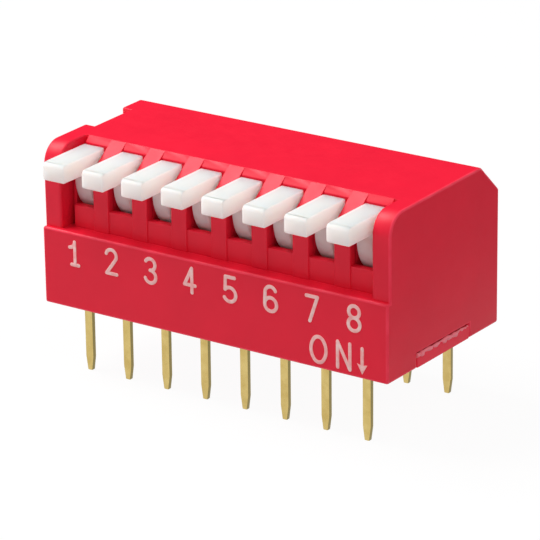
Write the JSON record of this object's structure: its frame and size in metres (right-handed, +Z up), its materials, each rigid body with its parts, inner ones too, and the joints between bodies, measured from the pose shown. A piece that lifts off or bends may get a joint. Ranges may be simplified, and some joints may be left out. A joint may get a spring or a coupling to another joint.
{
  "type": "dip switch",
  "caption": "Piano-type DIP switch: red housing with a comb of slots, white side levers that turn down to switch on, and two rows of flat through-hole pins.",
  "frame": {"origin": "middle of the pin grid, on the seating plane, which is the flat underside of the housing", "axes": "+X along the housing from position 1 to position 8, -Y the way the levers point, +Z up"},
  "size_m": [0.0218, 0.012, 0.0129],
  "materials": {
    "red_housing": "satin",
    "red_base": "satin",
    "legend_ink": "matte",
    "white_lever": "satin",
    "gold_contact": "gold plated",
    "gold_terminal": "gold plated"
  },
  "bodies": {
    "housing": {"cover": "red_housing", "base": "red_base", "legend": "legend_ink", "terminal_front_1": "gold_terminal", "terminal_front_2": "gold_terminal", "terminal_front_3": "gold_terminal", "terminal_front_4": "gold_terminal", "terminal_front_5": "gold_terminal", "terminal_front_6": "gold_terminal", "terminal_front_7": "gold_terminal", "terminal_front_8": "gold_terminal", "terminal_back_1": "gold_terminal", "terminal_back_2": "gold_terminal", "terminal_back_3": "gold_terminal", "terminal_back_4": "gold_terminal", "terminal_back_5": "gold_terminal", "terminal_back_6": "gold_terminal", "terminal_back_7": "gold_terminal", "terminal_back_8": "gold_terminal"},
    "switch_1": {"lever_1": "white_lever", "contact_1": "gold_contact"},
    "switch_2": {"lever_2": "white_lever", "contact_2": "gold_contact"},
    "switch_3": {"lever_3": "white_lever", "contact_3": "gold_contact"},
    "switch_4": {"lever_4": "white_lever", "contact_4": "gold_contact"},
    "switch_5": {"lever_5": "white_lever", "contact_5": "gold_contact"},
    "switch_6": {"lever_6": "white_lever", "contact_6": "gold_contact"},
    "switch_7": {"lever_7": "white_lever", "contact_7": "gold_contact"},
    "switch_8": {"lever_8": "white_lever", "contact_8": "gold_contact"}
  },
  "joints": [
    {"name": "lever_1_turn", "type": "hinge", "parent": "housing", "child": "switch_1", "pos_m": [-0.00889, -0.00195, 0.0069], "axis": [1, 0, 0], "range_deg": [0, 20]},
    {"name": "lever_2_turn", "type": "hinge", "parent": "housing", "child": "switch_2", "pos_m": [-0.00635, -0.00195, 0.0069], "axis": [1, 0, 0], "range_deg": [0, 20]},
    {"name": "lever_3_turn", "type": "hinge", "parent": "housing", "child": "switch_3", "pos_m": [-0.00381, -0.00195, 0.0069], "axis": [1, 0, 0], "range_deg": [0, 20]},
    {"name": "lever_4_turn", "type": "hinge", "parent": "housing", "child": "switch_4", "pos_m": [-0.00127, -0.00195, 0.0069], "axis": [1, 0, 0], "range_deg": [0, 20]},
    {"name": "lever_5_turn", "type": "hinge", "parent": "housing", "child": "switch_5", "pos_m": [0.00127, -0.00195, 0.0069], "axis": [1, 0, 0], "range_deg": [0, 20]},
    {"name": "lever_6_turn", "type": "hinge", "parent": "housing", "child": "switch_6", "pos_m": [0.00381, -0.00195, 0.0069], "axis": [1, 0, 0], "range_deg": [0, 20]},
    {"name": "lever_7_turn", "type": "hinge", "parent": "housing", "child": "switch_7", "pos_m": [0.00635, -0.00195, 0.0069], "axis": [1, 0, 0], "range_deg": [0, 20]},
    {"name": "lever_8_turn", "type": "hinge", "parent": "housing", "child": "switch_8", "pos_m": [0.00889, -0.00195, 0.0069], "axis": [1, 0, 0], "range_deg": [0, 20]}
  ]
}
